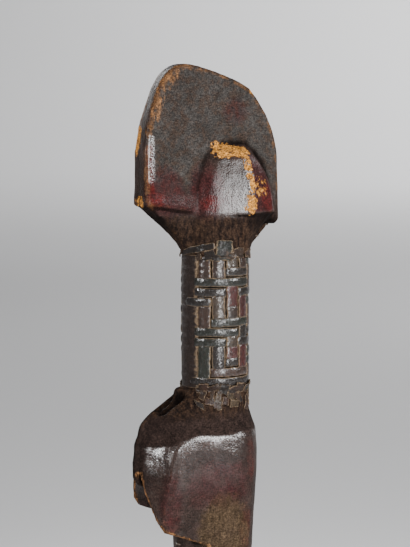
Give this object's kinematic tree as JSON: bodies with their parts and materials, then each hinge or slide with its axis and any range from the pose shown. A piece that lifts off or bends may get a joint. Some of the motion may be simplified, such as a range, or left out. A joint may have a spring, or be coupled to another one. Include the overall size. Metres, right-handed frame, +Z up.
{
  "type": "leather-covered carved doll",
  "caption": "Standing carved doll in a sewn leather cover: disc crest with side lobes, long plaited neck, pointed breasts and a low round foot.",
  "frame": {"origin": "middle of the flat underside of the foot", "axes": "+Z up, the doll faces -Y, +X towards its left side"},
  "size_m": [0.0448, 0.0522, 0.27],
  "materials": {
    "doll_leather": "dark brown leather glued over carved wood, polished by handling, worn to ochre on the edges",
    "strip_leather": "narrow plaited strips of dark green, brown and red leather with pale raw edges"
  },
  "bodies": {
    "root": {"doll_body": "doll_leather", "neck_plait": "strip_leather"}
  },
  "joints": []
}
